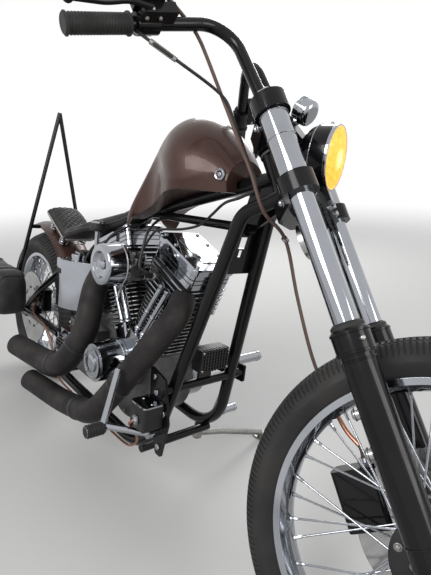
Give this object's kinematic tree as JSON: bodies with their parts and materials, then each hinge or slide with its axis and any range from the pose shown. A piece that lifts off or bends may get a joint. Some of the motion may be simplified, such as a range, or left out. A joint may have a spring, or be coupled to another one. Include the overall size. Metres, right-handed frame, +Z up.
{
  "type": "chopper motorcycle",
  "caption": "Long-fork chopper motorcycle with a finned V engine and laced wheels, leaning on its side stand; the fork steers, the wheels turn and the stand folds.",
  "frame": {"origin": "on the ground, under the middle of the parked bike's box", "axes": "+X forward, +Y to the rider's left, +Z up; the bike leans to the left on its stand"},
  "size_m": [2.2818, 0.7026, 1.2547],
  "materials": {
    "tyre": "black road tyre",
    "chrome": "bright chrome",
    "polished_alloy": "polished alloy",
    "grey_alloy": "dull cast alloy",
    "black_fins": "satin black with bright fin edges",
    "black_paint": "gloss black",
    "bronze_paint": "satin metallic bronze",
    "steel": "plain steel",
    "black_rubber": "black rubber",
    "black_leather": "black leather",
    "black_plastic": "black plastic",
    "red_lens": "red lens",
    "pipe_wrap": "matt dark charcoal brown",
    "amber_lens": "lit amber fluted lens"
  },
  "bodies": {
    "chassis": {"frame": "black_paint", "rear_swingarm": "black_paint", "rear_axle": "chrome", "rear_caliper": "black_paint", "crankcase": "grey_alloy", "cylinders": "black_fins", "cylinder_heads": "black_fins", "rocker_boxes": "chrome", "cam_cover": "chrome", "pushrod_tubes": "chrome", "carburettor": "grey_alloy", "air_cleaner": "chrome", "exhaust_pipes": "pipe_wrap", "gearbox": "grey_alloy", "gearbox_end_cover": "chrome", "primary_case": "polished_alloy", "drive_belt": "black_rubber", "oil_tank": "chrome", "battery": "black_plastic", "fuel_tank": "bronze_paint", "seat": "black_leather", "rear_mudguard": "bronze_paint", "passenger_pad": "black_leather", "sissy_bar": "black_paint", "tail_lamp": "red_lens", "saddlebag": "black_leather", "vent_cap": "chrome", "regulator": "black_plastic", "rear_master_cylinder": "grey_alloy", "brake_pedal": "black_paint", "left_controls": "chrome"},
    "fork": {"handlebar": "black_paint", "upper_yoke": "black_paint", "fork_tubes": "chrome", "fork_sliders": "black_paint", "front_axle": "chrome", "front_caliper": "black_paint", "headlamp_bucket": "black_paint", "headlamp_lens": "amber_lens", "lower_yoke": "black_paint", "grips": "black_rubber", "levers": "black_paint", "front_master_cylinder": "black_paint", "speedometer": "chrome", "horn": "black_plastic"},
    "front_wheel": {"front_tyre": "tyre", "front_rim": "chrome", "front_spokes": "chrome", "front_hub": "polished_alloy", "front_brake_disc": "steel"},
    "rear_wheel": {"rear_tyre": "tyre", "rear_rim": "chrome", "rear_spokes": "chrome", "rear_hub": "polished_alloy", "rear_brake_disc": "steel", "rear_pulley": "grey_alloy"},
    "side_stand": {"side_stand": "chrome"}
  },
  "joints": [
    {"name": "steering", "type": "hinge", "parent": "chassis", "child": "fork", "pos_m": [0.37853, 0.04139, 0.89527], "axis": [-0.5508, 0.14, 0.8228], "range_deg": [-43, 0]},
    {"name": "front_wheel_spin", "type": "hinge", "parent": "fork", "child": "front_wheel", "pos_m": [0.81047, -0.03806, 0.32532], "axis": [-0.3069, 0.8828, -0.3557], "continuous": true},
    {"name": "rear_wheel_spin", "type": "hinge", "parent": "chassis", "child": "rear_wheel", "pos_m": [-0.82694, -0.05996, 0.31044], "axis": [-0.0011, 0.9857, -0.1685], "continuous": true},
    {"name": "stand_pivot", "type": "hinge", "parent": "chassis", "child": "side_stand", "pos_m": [0.08381, 0.02247, 0.12183], "axis": [0, 0.3929, 0.9196], "range_deg": [0, 90]}
  ]
}
